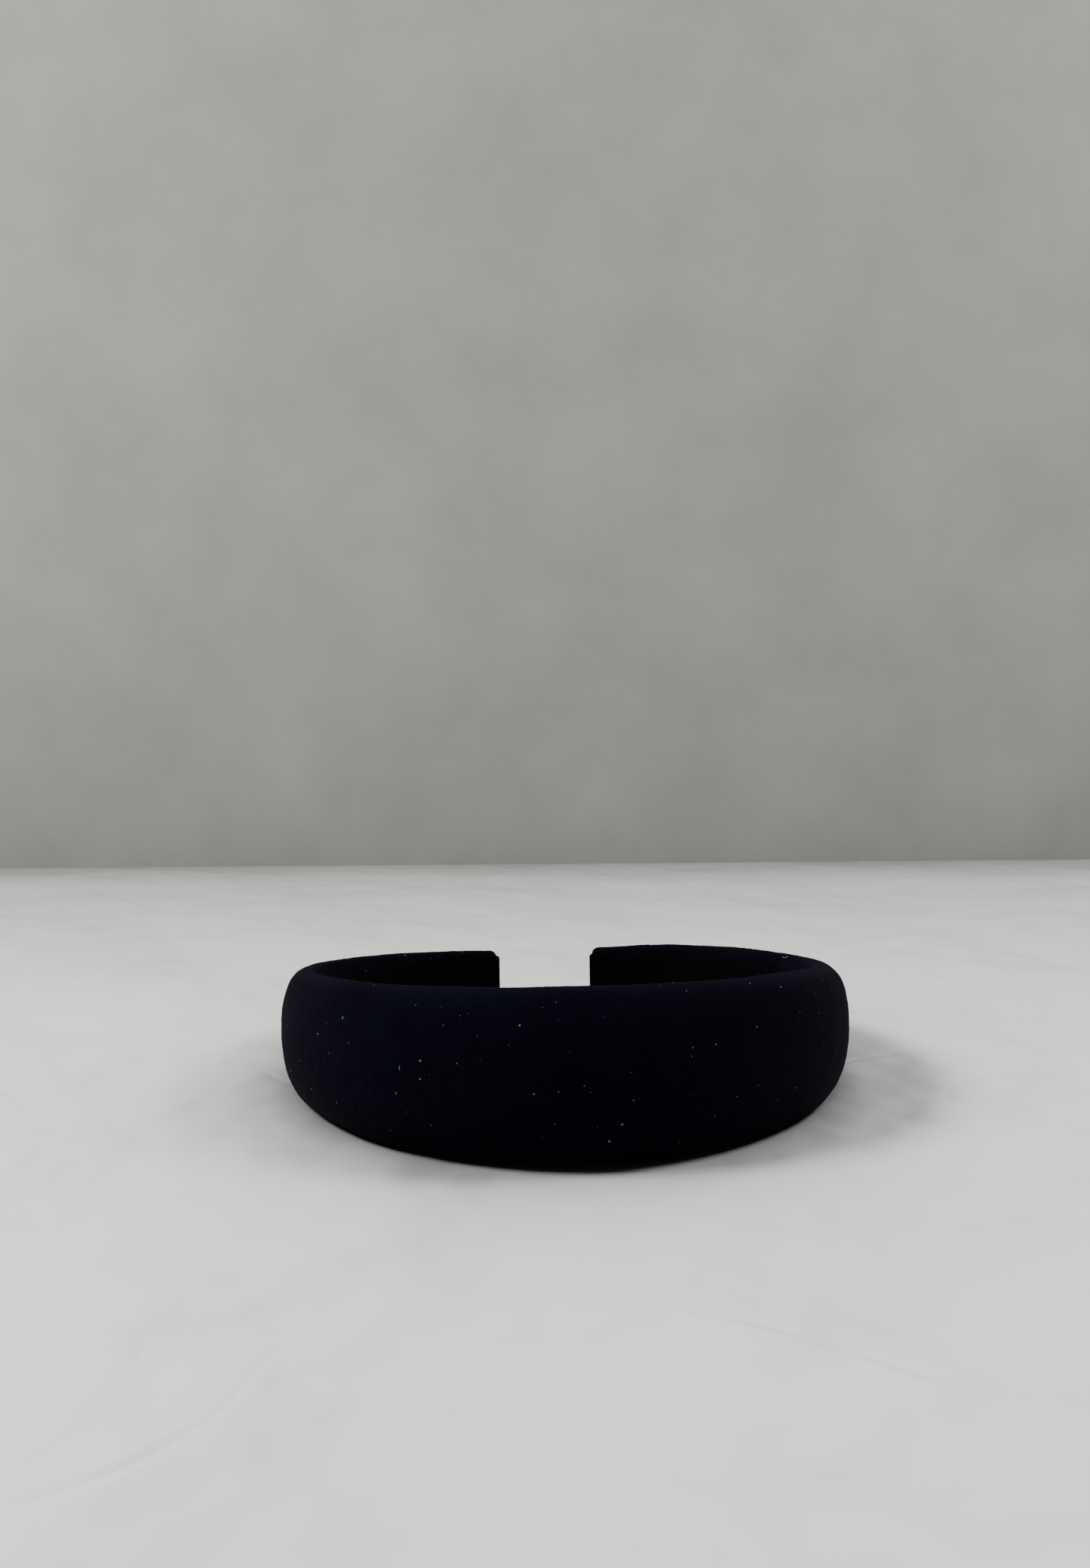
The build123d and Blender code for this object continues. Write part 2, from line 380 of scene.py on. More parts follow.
def velvet_material():
    """Short dense pile: nearly black, a cool sheen at grazing angles, nap marks and caught lint."""
    m = Nodes("velvet").set(
        Roughness=0.95, Sheen_Weight=0.022, Sheen_Roughness=0.36, Sheen_Tint=(0.42, 0.43, 0.55, 1),
        Specular_IOR_Level=0.03,
    )
    nap = m.noise(14 * mm, detail=3, rough=0.55)
    clumps = m.noise(1.1 * mm, detail=3, rough=0.65)
    pile = m.noise(0.22 * mm, detail=2, rough=0.7)
    tone = m.math("ADD", m.math("MULTIPLY", nap, 0.5), m.math("MULTIPLY", clumps, 0.5))
    colour = m.ramp(tone, [(0.3, (0.0004, 0.0004, 0.0022)), (0.5, (0.0009, 0.0009, 0.0038)),
                           (0.72, (0.0019, 0.0020, 0.0060))])
    colour = m.mix(m.ramp(pile, [(0.45, 0.0), (0.75, 0.7)]), colour, (0.0042, 0.0044, 0.0085))
    wide_place = m.node("ShaderNodeSeparateXYZ", {"Vector": m.rest()}).outputs["X"]
    to_right = m.node("ShaderNodeMapRange", {"Value": wide_place, "From Min": -60 * mm, "From Max": 60 * mm,
                                             "To Min": 1.1, "To Max": 0.8}).outputs[0]
    dust = m.math("MULTIPLY", to_right, m.ramp(m.noise(18 * mm, detail=2), [(0.3, 0.55), (0.6, 1.0)]))
    for spacing, stretch, reach in speck_scatters:
        specks = m.node("ShaderNodeTexVoronoi", {"Vector": m.rest(stretch), "Scale": 1 / spacing})
        pale = m.node("ShaderNodeSeparateColor", {"Color": specks.outputs["Color"]}).outputs[0]
        wide = m.math("MULTIPLY", m.math("MULTIPLY", pale, reach), dust)
        near = m.math("LESS_THAN", specks.outputs["Distance"], wide)
        fleck = m.ramp(pale, [(0.2, (0.006, 0.007, 0.014)), (0.8, (0.024, 0.028, 0.048)),
                              (1.0, (0.15, 0.17, 0.22))])
        colour = m.mix(near, colour, fleck)
    m.link(colour, "Base Color")
    height = m.math("ADD", m.math("MULTIPLY", pile, 0.5), m.math("MULTIPLY", clumps, 0.5))
    m.bump(height, 0.25 * mm, 0.8)
    return m.material


def pile_material():
    """The stray ends of pile, their colour a little paler than the velvet under them as a painted highlight
    for the light their ends catch.
    """
    m = Nodes("velvet_pile").set(
        Roughness=0.85, Sheen_Weight=0.1, Sheen_Roughness=0.4, Sheen_Tint=(0.42, 0.43, 0.55, 1),
        Specular_IOR_Level=0.1,
    )
    tone = m.noise(2.5 * mm, detail=1)
    # painted highlight: the paler base colour stands in for the light the pile ends catch
    m.link(m.ramp(tone, [(0.35, (0.003, 0.003, 0.006)), (0.7, (0.020, 0.021, 0.030))]), "Base Color")
    return m.material


def ribbon_material():
    """A matte black ribbed ribbon: the ribs are in its shape, the fine threads across them here."""
    m = Nodes("ribbon").set(Sheen_Weight=0.006, Sheen_Roughness=0.4,
                            Sheen_Tint=(0.5, 0.5, 0.56, 1), Specular_IOR_Level=0.025)
    threads = m.noise(0.16 * mm, detail=2, rough=0.6, vector=m.rest((1, 1, 2.6)))
    wear = m.noise(9 * mm, detail=3)
    tone = m.math("ADD", m.math("MULTIPLY", threads, 0.6), m.math("MULTIPLY", wear, 0.4))
    m.link(m.ramp(tone, [(0.3, (0.0003, 0.0003, 0.0004)), (0.55, (0.0007, 0.0007, 0.0009)),
                         (0.8, (0.0016, 0.0016, 0.0021))]), "Base Color")
    m.link(m.ramp(wear, [(0.3, 0.52), (0.7, 0.72)]), "Roughness")
    m.bump(threads, 0.08 * mm, 0.7)
    return m.material


def foam_material():
    """Open-cell foam, grey, yellowing a little, with painted shade in the hollow of each cell."""
    m = Nodes("foam").set(Roughness=0.95, Specular_IOR_Level=0.1)
    cells = m.node("ShaderNodeTexVoronoi", {"Vector": m.rest(), "Scale": 1 / (0.55 * mm)})
    age = m.noise(22 * mm, detail=3)
    # painted shade: the colour darkens towards each cell's middle, where the bump makes a hollow
    painted_pore_shade = m.ramp(cells.outputs["Distance"], [(0.15, 0.55), (0.55, 1.0)])
    tone = m.mix(age, (0.52, 0.52, 0.50), (0.58, 0.56, 0.48))
    mixed = m.node("ShaderNodeMix", data_type="RGBA", blend_type="MULTIPLY")
    mixed.inputs[0].default_value = 1
    m.tree.links.new(tone, mixed.inputs[6])
    m.tree.links.new(painted_pore_shade, mixed.inputs[7])
    m.link(mixed.outputs[2], "Base Color")
    m.bump(cells.outputs["Distance"], 0.3 * mm, 0.9)
    return m.material


def core_material():
    """Moulded polypropylene, satin, with faint flow lines along the strip."""
    m = Nodes("core_plastic").set(Specular_IOR_Level=0.45)
    flow = m.noise(6 * mm, detail=4, vector=m.rest((1, 1, 5)))
    fine = m.noise(0.4 * mm, detail=2)
    m.link(m.ramp(flow, [(0.3, (0.014, 0.014, 0.015)), (0.7, (0.024, 0.024, 0.026))]), "Base Color")
    m.link(m.ramp(fine, [(0.3, 0.34), (0.7, 0.46)]), "Roughness")
    m.bump(fine, 0.02 * mm, 0.5)
    return m.material


def tape_material():
    """Translucent white tape with bubbles under it."""
    m = Nodes("foam_tape").set(Specular_IOR_Level=0.4)
    bubbles = m.noise(1.6 * mm, detail=3)
    m.link(m.ramp(bubbles, [(0.3, (0.72, 0.72, 0.68)), (0.7, (0.82, 0.82, 0.78))]), "Base Color")
    m.link(m.ramp(bubbles, [(0.3, 0.4), (0.7, 0.6)]), "Roughness")
    m.bump(bubbles, 0.03 * mm, 0.5)
    return m.material


def glue_material():
    """Set hot-melt glue, amber and a little glossy."""
    m = Nodes("hot_melt_glue").set(Specular_IOR_Level=0.5, Coat_Weight=0.2)
    thick = m.noise(3 * mm, detail=3)
    m.link(m.ramp(thick, [(0.3, (0.55, 0.47, 0.30)), (0.7, (0.74, 0.69, 0.54))]), "Base Color")
    m.link(m.ramp(thick, [(0.3, 0.22), (0.7, 0.38)]), "Roughness")
    m.bump(thick, 0.08 * mm, 0.6)
    return m.material


def lint_material():
    """Pale grey fibres."""
    m = Nodes("lint").set(Roughness=0.85, Sheen_Weight=0.3)
    tone = m.noise(0.8 * mm, detail=1)
    m.link(m.ramp(tone, [(0.3, (0.22, 0.24, 0.30)), (0.7, (0.42, 0.45, 0.52))]), "Base Color")
    return m.material


# ---- the velvet cover ----

tip_round, tip_narrowing, cap_dome = 2.0 * mm, 0.8, 0.25 * mm
inner_rounding = 0.35             # the flat inner face draws back by this share of the tip's rounding
turn_rows, cap_rows = 7, 7        # rows round the tip's edge, and across its end
cover_columns, cover_step = 117, 0.62 * mm
window_close = 2.5 * mm           # the margins close together over this length near the tip
margin_fade_columns = 8
tip_nap_share = 0.3               # how much of the nap and swelling is left over the tip
floor_clearance, floor_fade = 0.12 * mm, 1.5 * mm
nap_layers = ((30 * mm, 0.10 * mm), (7 * mm, 0.05 * mm), (1.7 * mm, 0.035 * mm))    # size, height


def cover_gap(a):
    """How far each turned-in margin stops from the middle: closed over the last stretch of the tip."""
    share = np.clip((half_length - window_end_gap - a) / window_close, 0, 1)
    return margin_window_half * np.sqrt(share)


def cover_rows(end):
    """(arc length, inset) of each row of a layer that ends in a rounded tip at end."""
    straight = np.linspace(0, end - tip_round, int((end - tip_round) / cover_step) + 1)
    turn = np.linspace(0, pi / 2, turn_rows + 1)[1:]
    rows = [(a, 0.0) for a in straight]
    rows += [(end - tip_round + tip_round * sin(t), tip_round * tip_narrowing * (1 - cos(t))) for t in turn]
    return rows


def cover_surface(side, inset, inside):
    """One side's grid of points over a D-shaped layer, with the margins' edges as first and last
    columns, closed by a gently domed cap at the tip; each row's gap at the margins; and its arc length."""
    end = half_length - inset
    rows, gaps = [], []
    for a, less in cover_rows(end):
        gap = float(cover_gap(a))
        upper = pad_outline(a, inside + inner_rounding * less, inset + less)
        upper = np.vstack([(upper[0, 0], gap), upper])
        rows.append((a, slouch(side * a, resampled(both_flanks(upper), cover_columns))))
        gaps.append(gap)
    a_end, ring = rows[-1]            # the cap closes this ring towards its middle
    middle = (ring.min(0) + ring.max(0)) / 2
    for n in range(1, cap_rows + 1):
        share = 1 - n / cap_rows
        rows.append((a_end + cap_dome * (1 - share ** 2), middle + (ring - middle) * share))
        gaps.append(0.0)
    arcs = np.array([r[0] for r in rows])
    section = np.array([r[1] for r in rows])
    points = place(side * arcs[:, None], section[..., 0], section[..., 1])
    return points, np.array(gaps), arcs


def grid_normals(points, side):
    """Unit normals of a grid of points, outwards."""
    down = np.gradient(points, axis=0)
    across = np.gradient(points, axis=1)
    normal = np.cross(across, down) * side
    return normal / np.maximum(np.linalg.norm(normal, axis=-1, keepdims=True), 1e-12)


def cubic(field, row, column):
    """A grid of values read between its points, smoothly; row and column are fractional places."""
    def weights(t):
        return [((2 - t) * t - 1) * t / 2, ((3 * t - 5) * t * t + 2) / 2,
                ((4 - 3 * t) * t + 1) * t / 2, (t - 1) * t * t / 2]
    r, c = np.floor(row).astype(int), np.floor(column).astype(int)
    total = 0
    for m, wr in zip((-1, 0, 1, 2), weights(row - r)):
        for n, wc in zip((-1, 0, 1, 2), weights(column - c)):
            total = total + wr * wc * field[np.clip(r + m, 0, field.shape[0] - 1),
                                            np.clip(c + n, 0, field.shape[1] - 1)]
    return total


relax_step, relax_columns = 2.4 * mm, 37
relax_inset, relax_cap = 0.5 * mm, 0.9 * mm
relax_half = half_length - 6 * mm
relax_fade = 12 * mm              # the swelling dies away over this length before its end
relax_frames = 20
glue_depth = 0.2 * mm             # points this close to the inner face are glued down


def inflated(points, fixed):
    """A grid of points after its cloth has been inflated by simulation, with the fixed ones held."""
    mesh = bpy.data.meshes.new("relax")
    mesh.from_pydata(points.reshape(-1, 3), [], grid_faces(*points.shape[:2]).tolist())
    cloth_piece = bpy.data.objects.new("relax", mesh)
    bpy.context.scene.collection.objects.link(cloth_piece)
    held = cloth_piece.vertex_groups.new(name="held")
    held.add(np.nonzero(fixed.ravel())[0].tolist(), 1.0, "REPLACE")
    cloth = cloth_piece.modifiers.new("cloth", "CLOTH")
    cloth.settings.vertex_group_mass = "held"
    cloth.settings.use_pressure = True
    cloth.settings.uniform_pressure_force = 4
    cloth.settings.effector_weights.gravity = 0
    cloth.settings.quality = 6
    cloth.settings.mass = 0.3
    cloth.settings.tension_stiffness = cloth.settings.compression_stiffness = 18
    cloth.settings.bending_stiffness = 1.5
    cloth.point_cache.frame_start, cloth.point_cache.frame_end = 1, relax_frames
    for n in range(1, relax_frames + 1):
        bpy.context.scene.frame_set(n)
    graph = bpy.context.evaluated_depsgraph_get()
    done = cloth_piece.evaluated_get(graph).to_mesh()
    moved = np.empty(len(done.vertices) * 3, np.float32)
    done.vertices.foreach_get("co", moved)
    cloth_piece.evaluated_get(graph).to_mesh_clear()
    bpy.data.objects.remove(cloth_piece)
    bpy.context.scene.frame_set(1)
    return moved.reshape(points.shape)


def relaxed_cover():
    """How far the velvet swells off its pattern where the foam presses on it, as a grid over the whole
    band: the cover is inflated with its glued margins and its tips held."""
    arcs = np.linspace(-relax_half, relax_half, 2 * int(relax_half / relax_step) + 1)
    rows = []
    for s in arcs:
        upper = np.vstack([(0, margin_window_half), pad_outline(abs(s), 0, relax_inset)])
        rows.append(resampled(both_flanks(upper), relax_columns))
    section = np.array(rows)
    points = place(arcs[:, None], section[..., 0], section[..., 1])
    fixed = np.abs(section[..., 1]) < between(tip_flat_half, crown_flat_half, arcs)[:, None]
    fixed &= section[..., 0] < glue_depth
    fixed[[0, -1]] = True
    swell = ((inflated(points, fixed) - points) * grid_normals(points, 1)).sum(-1)
    swell = np.clip(swell, -relax_cap, relax_cap)
    return swell - swell.mean()


swell_field = relaxed_cover()


def swell(side, arcs, columns):
    """The simulated swelling at a grid of rows and columns of one half."""
    if swell_field is None:
        return np.zeros((len(arcs), columns))
    rows = swell_field.shape[0]
    row = (np.clip(side * arcs, -relax_half, relax_half) / relax_half + 1) / 2 * (rows - 1)
    column = np.linspace(0, 1, columns) * (relax_columns - 1)
    fade_out = np.clip((relax_half - arcs) / relax_fade, 0, 1)
    return cubic(swell_field, row[:, None], column[None, :]) * fade_out[:, None]


def waves(points, size, seed, count=24):
    """Smooth pseudo-random values from -1 to 1 at points, with features about size across."""
    draw = np.random.default_rng(seed)
    turn = draw.normal(size=(count, 3))
    turn *= (2 * pi / size * draw.uniform(0.6, 1.5, count) / np.linalg.norm(turn, axis=1))[:, None]
    phase = draw.uniform(0, 2 * pi, count)
    return np.sin(points @ turn.T + phase).sum(-1) / np.sqrt(count / 2) / 1.6


def with_rows(grid, rows):
    """The same surface with another number of rows."""
    share = np.linspace(0, len(grid) - 1, rows)
    low = np.floor(share).astype(int).clip(0, len(grid) - 2)
    t = (share - low)[:, None, None]
    return grid[low] * (1 - t) + grid[low + 1] * t


def velvet_cover(side, word):
    """The velvet with its turned-in margins: an outer face with nap, and an inner face on the foam."""
    outer, gaps, arcs = cover_surface(side, 0, 0)
    rows = len(outer)
    inner = with_rows(cover_surface(side, velvet_thickness, velvet_thickness)[0], rows)
    normals = grid_normals(outer, side)
    nap = sum(waves(outer, size, seed) * height for seed, (size, height) in enumerate(nap_layers, 1))
    above_floor = np.clip((outer[..., 2] - floor_clearance) / floor_fade, 0, 1)
    near_tip = np.ones(rows)
    near_tip[-cap_rows - turn_rows:] = tip_nap_share
    from_margin = np.minimum(1, np.arange(cover_columns) / margin_fade_columns)
    from_margin = np.minimum(from_margin, from_margin[::-1])
    offset = (nap + swell(side, arcs, cover_columns)) * above_floor * near_tip[:, None] * from_margin
    outer = outer + normals * offset[..., None]
    count = rows * cover_columns
    faces = [grid_faces(rows, cover_columns), grid_faces(rows, cover_columns, count)[:, ::-1]]
    index = np.arange(count).reshape(rows, cover_columns)
    under = index + count
    faces.append(np.stack([index[0, 1:], index[0, :-1], under[0, :-1], under[0, 1:]], -1))
    open_rows = np.nonzero((gaps[:-1] > 0) | (gaps[1:] > 0))[0]
    for column, flip in ((0, 1), (cover_columns - 1, -1)):
        edge = np.stack([index[open_rows, column], index[open_rows + 1, column],
                         under[open_rows + 1, column], under[open_rows, column]], -1)
        faces.append(edge[:, ::flip])
    piece = make_piece(f"velvet_cover_{word}", np.concatenate([outer, inner]), np.concatenate(faces).tolist(),
                       velvet, crease=55, weld=True)
    stand_for("cover", side)
    return outer, normals


pile_count, pile_radius = 9000, 0.03 * mm
pile_shortest, pile_longest, pile_root = 0.25 * mm, 0.8 * mm, 0.05 * mm
pile_lean = 0.45
bare_columns, bare_height = 6, 1.0 * mm      # no pile stands this near the margins' edges or the table


def pile(side, word, outer, normals):
    """Stray ends of pile that stand off the velvet, each a thin closed spike."""
    draw = np.random.default_rng(20 + side)
    rows, columns = outer.shape[:2]
    row = draw.integers(0, rows - cap_rows - 1, pile_count)
    column = draw.integers(bare_columns, columns - bare_columns, pile_count)
    corner = outer[row, column]
    root = corner + (outer[row + 1, column] - corner) * draw.random((pile_count, 1)) \
        + (outer[row, column - 1] - corner) * draw.random((pile_count, 1))
    way = unit(normals[row, column] + draw.normal(size=(pile_count, 3)) * pile_lean)
    length = draw.uniform(pile_shortest, pile_longest, pile_count)[:, None]
    keep = root[:, 2] > bare_height
    root, way, length = root[keep], way[keep], length[keep]
    first_way = unit(np.cross(way, draw.normal(size=root.shape)))
    second_way = np.cross(way, first_way)
    base = root - way * pile_root
    foot = [base + pile_radius * (first_way * cos(t) + second_way * sin(t))
            for t in (0, 2 * pi / 3, 4 * pi / 3)]
    points = np.stack([*foot, root + way * length], 1).reshape(-1, 3)
    first = np.arange(len(root))[:, None] * 4
    faces = np.concatenate([first + f for f in ((0, 2, 1), (0, 1, 3), (1, 2, 3), (2, 0, 3))])
    piece = make_piece(f"velvet_pile_{word}", points, faces.tolist(), pile_look, crease=55)
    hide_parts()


# ---- the layers inside ----

core_end, core_corner = half_length - velvet_thickness - 0.2 * mm, 3.5 * mm
core_closing = 0.98               # the strip's rounded end closes by this share of its corners
foam_end, foam_rows, foam_flank_points = half_length - velvet_thickness - 0.6 * mm, 130, 26
foam_lip = 0.02 * mm
tape_end, tape_margin = half_length - 9 * mm, 0.5 * mm
margin_glue_end, margin_glue_inner, margin_glue_outer = half_length - 3 * mm, 0.3 * mm, 1.2 * mm
ribbon_glue_end, ribbon_glue_margin = half_length - window_end_gap - 2 * mm, 0.35 * mm
margin_glue_wander, ribbon_glue_wander, ribbon_glue_inside = 0.35 * mm, 0.2 * mm, 0.02 * mm
core_edge, tape_edge, margin_glue_edge, ribbon_glue_edge = 0.3 * mm, 0.1 * mm, 0.05 * mm, 0.08 * mm
strip_step, glue_step = 1.5 * mm, 1.0 * mm


def core_strip(side, word):
    """The springy plastic strip, rounded at its end."""
    def ring(a):
        past = np.clip((a - (core_end - core_corner)) / core_corner, 0, 1)
        half = core_half(a) - core_corner * (1 - np.sqrt(1 - past ** 2)) * core_closing
        return rounded_box(core_inside, core_outside, -half, half, core_edge)

    arcs = np.concatenate([np.arange(0, core_end - core_corner, strip_step),
                           core_end - core_corner + core_corner * np.sin(np.linspace(0, pi / 2, 10))])
    bar(f"core_strip_{word}", side, arcs, ring, core_plastic, "core")


def foam_tape(side, word):
    """The double-sided tape between the strip and the foam."""
    def ring(a):
        half = core_half(a) - tape_margin
        return rounded_box(tape_inside, tape_outside, -half, half, tape_edge)

    bar(f"foam_tape_{word}", side, np.arange(0, tape_end, strip_step), ring, tape, "foam_tape")


def foam_section(s):
    """The foam's ring at s: the D shape with the core's pocket cut out of its inner face."""
    a = abs(s)
    upper = pad_outline(a, core_inside, velvet_thickness + bond_gap)
    lip = core_half(a) + bond_gap
    flank = upper[np.argmax(upper[:, 1] > lip + foam_lip):]
    pocket = tape_outside + bond_gap
    half = np.vstack([(pocket, lip), (flank[0, 0], lip), resampled(flank, foam_flank_points)])
    return slouch(s, both_flanks(half))


def foam_pad(side, word):
    """The foam, with the strip and the tape in its pocket."""
    pad = bar(f"foam_pad_{word}", side, np.linspace(0, foam_end, foam_rows),
              lambda a: foam_section(side * a), foam, "foam")


def margin_glue(side, word):
    """The upper and the lower line of glue under the turned-in margins, laid a little unevenly."""
    for part, sign in (("upper", 1), ("lower", -1)):
        def ring(a, sign=sign):
            wander = margin_glue_wander * sin(a / (3.1 * mm) + sign) * sin(a / (7.7 * mm))
            return (1, sign) * rounded_box(
                glue_inside, glue_inside + glue_thickness, margin_window_half + margin_glue_inner,
                core_half(a) - margin_glue_outer + wander, margin_glue_edge)

        bar(f"margin_glue_{part}_{word}", side, np.arange(0, margin_glue_end, glue_step), ring,
            glue, "margin_glue")


def ribbon_glue(side, word):
    """The line of glue between the margins, under the ribbon."""
    def ring(a):
        half = margin_window_half - ribbon_glue_margin + ribbon_glue_wander * sin(a / (4.3 * mm) + 1)
        return rounded_box(ribbon_glue_inside, core_inside - bond_gap, -half, half, ribbon_glue_edge)

    bar(f"ribbon_glue_{word}", side, np.arange(0, ribbon_glue_end, glue_step), ring,
        glue, "ribbon_glue")


# ---- the ribbon ----

rib_pitch, rib_depth, rib_rise, rows_per_rib = 0.8 * mm, 0.09 * mm, 0.03 * mm, 6
fold_length, fold_rise, fold_thickening = 6 * mm, 0.5 * mm, 0.55
ribbon_corner, ribbon_edge, ribbon_closing = 1.3 * mm, 0.18 * mm, 0.9
selvedge_wave, selvedge_width, selvedge_fade = 0.05 * mm, 0.5 * mm, 0.3 * mm
ribbon_drift, drift_middle, drift_reach = 0.8 * mm, 106 * mm, 30 * mm    # it is laid higher on the right arm
ribbon_wander, wander_length = 0.10 * mm, 17 * mm


def ribbon(side, word):
    """The lining: ribs across it, wavy selvedges, and its end folded under at the tip."""
    body_end = ribbon_half_length - ribbon_thickness / 2
    arcs = np.arange(0, body_end, rib_pitch / rows_per_rib)
    turn = np.linspace(0, pi / 2, 6)
    arcs = np.concatenate([arcs, body_end + ribbon_thickness / 2 * np.sin(turn)])

    def ring(a):
        rib = (0.5 - 0.5 * cos(2 * pi * a / rib_pitch)) ** 0.6
        fold = np.clip((a - (ribbon_half_length - fold_length)) / fold_rise, 0, 1)
        thick = ribbon_thickness * (1 + fold_thickening * fold)
        past = np.clip((a - body_end) / (ribbon_thickness / 2), 0, 1)
        shut = thick / 2 * (1 - np.sqrt(1 - past ** 2)) * ribbon_closing
        near, far = -bond_gap - thick + shut, -bond_gap - shut
        drift = ribbon_wander * sin(side * a / wander_length + 0.6) \
            + ribbon_drift * swelling(side * a, drift_middle, drift_reach)
        corner = np.clip((a - (ribbon_half_length - ribbon_corner)) / ribbon_corner, 0, 1)
        edge = ribbon_half + selvedge_wave * cos(2 * pi * a / rib_pitch) \
            - ribbon_corner * (1 - np.sqrt(1 - corner ** 2)) * ribbon_closing
        radius = min(ribbon_edge, (far - near) / 2.2)
        line = rounded_box(near, far, drift - edge, drift + edge, radius, across=12)
        inner_face = line[:, 0] < (near + far) / 2
        middle = np.clip((edge - selvedge_width - np.abs(line[:, 1] - drift)) / selvedge_fade, 0, 1)
        line[:, 0] += np.where(inner_face, (rib_depth * (1 - rib) - rib_rise) * (0.35 + 0.65 * middle), 0)
        return line

    piece = bar(f"ribbon_lining_{word}", side, arcs, ring, ribbon_look, "ribbon")


# ---- lint ----

fibre_count, fibre_radius = 9, 0.035 * mm
fibre_shortest, fibre_longest = 0.5 * mm, 1.3 * mm
fibre_lift, fibre_arch = 0.10 * mm, 0.35 * mm
beads, around = 14, 4             # points along a fibre, and round it
first_row, tip_rows, edge_columns = 4, 40, 20    # fibres start this many rows and columns from the edges
caught_row, caught_column = int(119 * mm / cover_step), 8    # by the ribbon's upper edge, on the right arm


def lint_fibres(side, word, outer, normals):
    """Short curly fibres caught in the pile, each a thin closed tube."""
    draw = np.random.default_rng(40 + side)
    points, faces = [], []
    for number in range(fibre_count + (side > 0)):
        row = draw.integers(first_row, outer.shape[0] - tip_rows)
        column = draw.integers(edge_columns, outer.shape[1] - edge_columns)
        if number == fibre_count:
            row, column = caught_row, outer.shape[1] - caught_column
        root, normal = outer[row, column], normals[row, column]
        first = unit(np.cross(normal, draw.normal(size=3)))
        second = np.cross(normal, first)
        size = draw.uniform(fibre_shortest, fibre_longest)
        curl, twist = draw.uniform(0.6, 2.6), draw.uniform(-1, 1)
        t = np.linspace(0, 1, beads)[:, None]
        angle = curl * t * pi
        path = root + normal * (fibre_lift + fibre_arch * np.sin(t * pi) * abs(twist)) \
            + size * (first * (np.sin(angle) + 0.4 * t) + second * (1 - np.cos(angle)) * 0.7)
        tangent = unit(np.gradient(path, axis=0))
        first_way = unit(np.cross(tangent, normal))
        second_way = np.cross(tangent, first_way)
        base = len(points) * beads * around
        rings = np.stack([path + fibre_radius * (first_way * cos(k) + second_way * sin(k))
                          for k in np.arange(around) * 2 * pi / around], 1)
        points.append(rings.reshape(-1, 3))
        faces += grid_faces(beads, around, base, closed=True).tolist()
        faces += [[base + k for k in range(around)][::-1],
                  [base + (beads - 1) * around + k for k in range(around)]]
    make_piece(f"lint_fibres_{word}", np.concatenate(points), faces, lint, crease=180)


# ---- build it ----

velvet, pile_look = velvet_material(), pile_material()
ribbon_look = ribbon_material()
foam, core_plastic = foam_material(), core_material()
tape, glue, lint = tape_material(), glue_material(), lint_material()

for word, side in sides.items():
    surface, normals = velvet_cover(side, word)
    pile(side, word, surface, normals)
    lint_fibres(side, word, surface, normals)
    for layer in (ribbon, core_strip, foam_tape, foam_pad, margin_glue, ribbon_glue):
        layer(side, word)


# ---- stage, camera and light ----

def floor_material():
    """A white sheet with soft folds, greyed towards the wall by painted shade, and darkened with painted
    shadow close to the headband, where the photo's shadows are deeper than two lights alone make them."""
    m = Nodes("floor").set(Roughness=0.75, Specular_IOR_Level=0.2)
    coordinates = m.node("ShaderNodeTexCoord").outputs["Object"]
    tone = m.noise(0.16, detail=3, vector=coordinates)
    near = m.ramp(tone, [(0.3, (0.74, 0.74, 0.75)), (0.7, (0.80, 0.80, 0.81))])
    depth = m.node("ShaderNodeSeparateXYZ", {"Vector": coordinates}).outputs["Y"]
    # painted shade: the sheet's colour greys towards the wall, where less light falls
    away = m.node("ShaderNodeMapRange", {"Value": depth, "From Min": -0.05, "From Max": 0.30}).outputs[0]
    open_tone = m.mix(away, near, (0.42, 0.42, 0.41))
    # painted shadow: the sheet's colour darkens where ambient occlusion finds the headband close by
    under = m.node("ShaderNodeAmbientOcclusion", {"Distance": 80 * mm}, samples=8).outputs["AO"]
    m.link(m.mix(m.math("POWER", under, 1.7), (0.13, 0.13, 0.13), open_tone), "Base Color")
    folds = m.noise(0.07, detail=3, rough=0.4, vector=coordinates)
    creases = m.math("ABSOLUTE", m.math("SUBTRACT", m.noise(0.11, detail=2, vector=coordinates), 0.5))
    sharp = m.ramp(creases, [(0.0, 0.0), (0.012, 1.0)])
    patches = m.ramp(m.noise(0.06, detail=1, vector=coordinates), [(0.5, 0.0), (0.6, 0.02)])
    m.bump(m.math("ADD", folds, m.math("MULTIPLY", sharp, patches)), 22 * mm, 1.0)
    return m.material


def wall_material():
    m = Nodes("wall").set(Roughness=0.9, Specular_IOR_Level=0.1)
    coordinates = m.node("ShaderNodeTexCoord").outputs["Object"]
    tone = m.noise(0.07, detail=4, rough=0.6, vector=coordinates)
    m.link(m.ramp(tone, [(0.3, (0.24, 0.24, 0.218)), (0.7, (0.285, 0.285, 0.258))]), "Base Color")
    return m.material


def stage_sheet(name, corners, material):
    mesh = bpy.data.meshes.new(name)
    mesh.from_pydata(corners, [], [(0, 1, 2, 3)])
    sheet = bpy.data.objects.new(name, mesh)
    mesh.materials.append(material)
    bpy.context.scene.collection.objects.link(sheet)


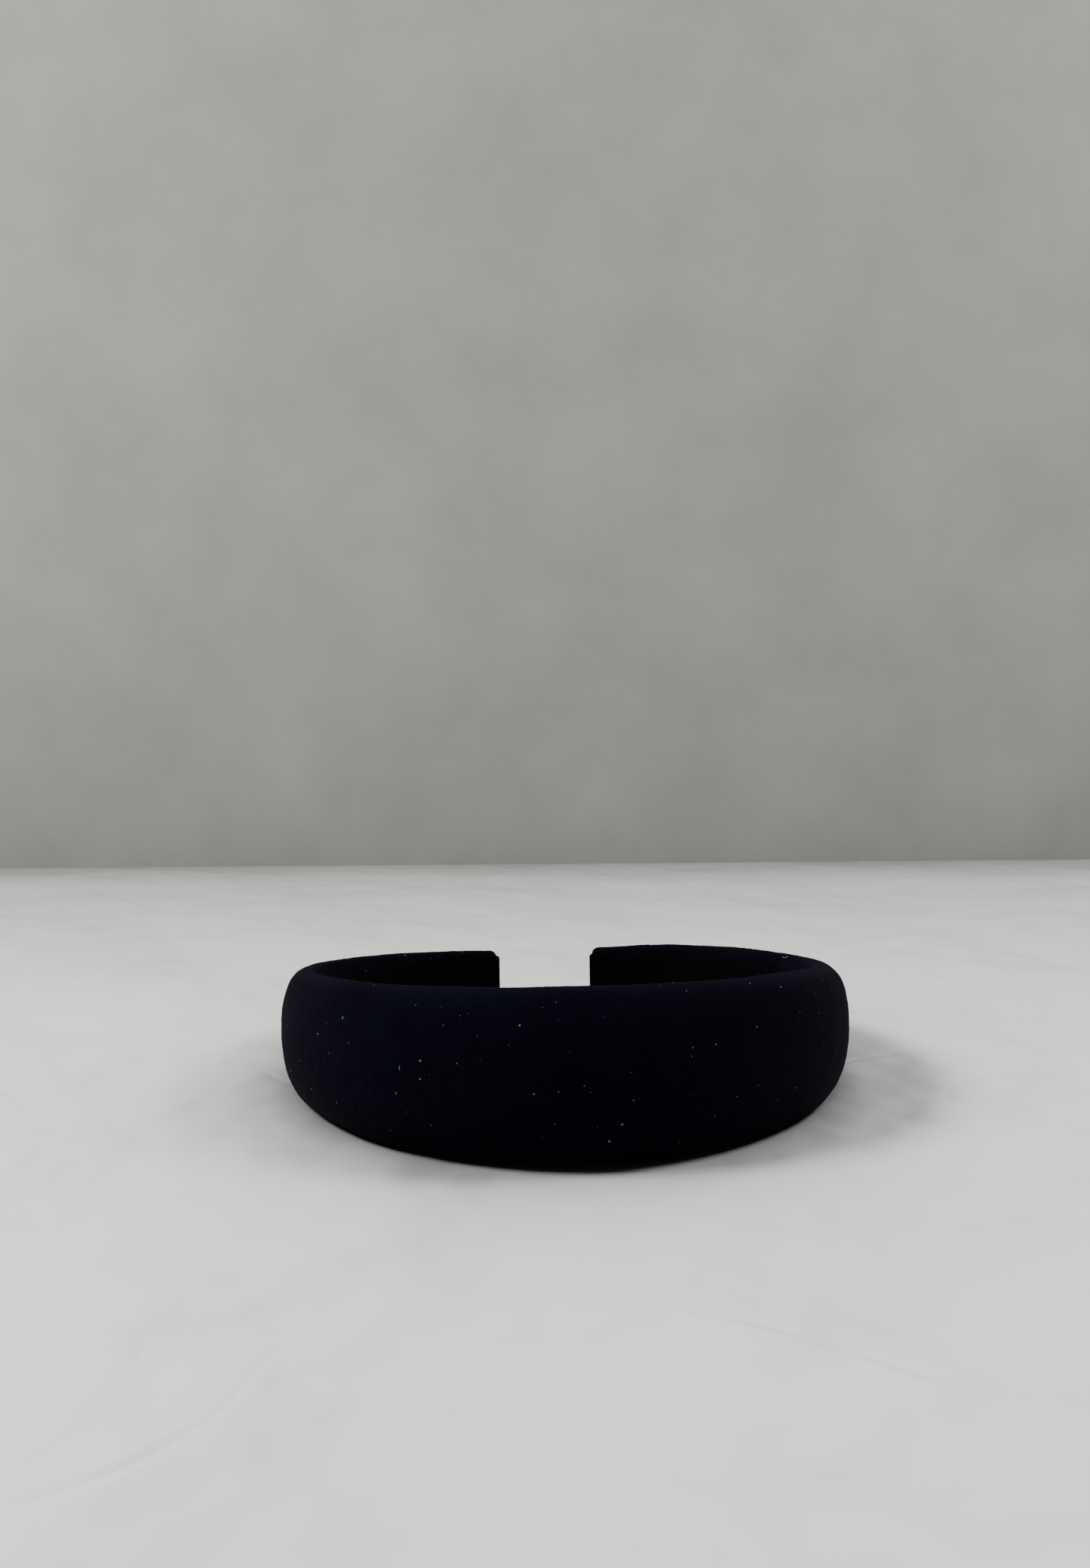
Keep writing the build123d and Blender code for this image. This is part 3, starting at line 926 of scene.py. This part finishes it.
far = 2.5
wall_slope = 0.082                # the wall is square to the camera
wall_y, wall_top = 0.37, 1.2
wall_left, wall_right = wall_y + far * wall_slope, wall_y - far * wall_slope
stage_sheet("floor", [(-far, -far, 0), (far, -far, 0), (far, wall_right, 0), (-far, wall_left, 0)],
            floor_material())
stage_sheet("wall", [(-far, wall_left, 0), (far, wall_right, 0), (far, wall_right, wall_top),
                     (-far, wall_left, wall_top)], wall_material())

camera_place = Vector((-0.0298, -0.3047, 0.1014))
yaw, pitch, roll = radians(4.703), radians(4.656), radians(0.467)
lens, sensor = 27.013, 36.0


def make_camera():
    """The photo's view. roll turns the camera about its line of sight."""
    ahead = Vector((sin(yaw) * cos(pitch), cos(yaw) * cos(pitch), -sin(pitch)))
    level = Vector((cos(yaw), -sin(yaw), 0))
    rise = level.cross(ahead)
    right = level * cos(roll) - rise * sin(roll)
    up = level * sin(roll) + rise * cos(roll)
    data = bpy.data.cameras.new("camera")
    data.lens, data.sensor_width = lens, sensor
    data.clip_start, data.clip_end = 0.01, 50
    camera = bpy.data.objects.new("camera", data)
    camera.matrix_world = Matrix((right, up, -ahead)).transposed().to_4x4()
    camera.location = camera_place
    bpy.context.scene.collection.objects.link(camera)
    bpy.context.scene.camera = camera


light_colour = (1.0, 0.99, 0.98)


def area_light(name, spot, target, size, power):
    data = bpy.data.lights.new(name, "AREA")
    data.shape, data.size, data.energy, data.color = "DISK", size, power, light_colour
    light = bpy.data.objects.new(name, data)
    light.location = spot
    light.rotation_euler = (Vector(target) - Vector(spot)).to_track_quat("-Z", "Y").to_euler()
    bpy.context.scene.collection.objects.link(light)


def make_light():
    """A key light high on each side, as the photo's two shadows show, and a weak one overhead."""
    area_light("left_key", (-0.72, -0.06, 0.72), (0, 0, 0), 0.30, 13.5)
    area_light("right_key", (0.72, -0.04, 0.74), (0, 0, 0), 0.30, 9.0)
    area_light("overhead", (0, 0.25, 0.95), (0, -0.05, 0), 0.25, 1.6)
    world = bpy.data.worlds.new("world")
    bpy.context.scene.world = world
    world.use_nodes = True
    background = world.node_tree.nodes["Background"].inputs
    background["Color"].default_value = (0.90, 0.92, 0.95, 1)
    background["Strength"].default_value = 0.07


make_camera()
make_light()
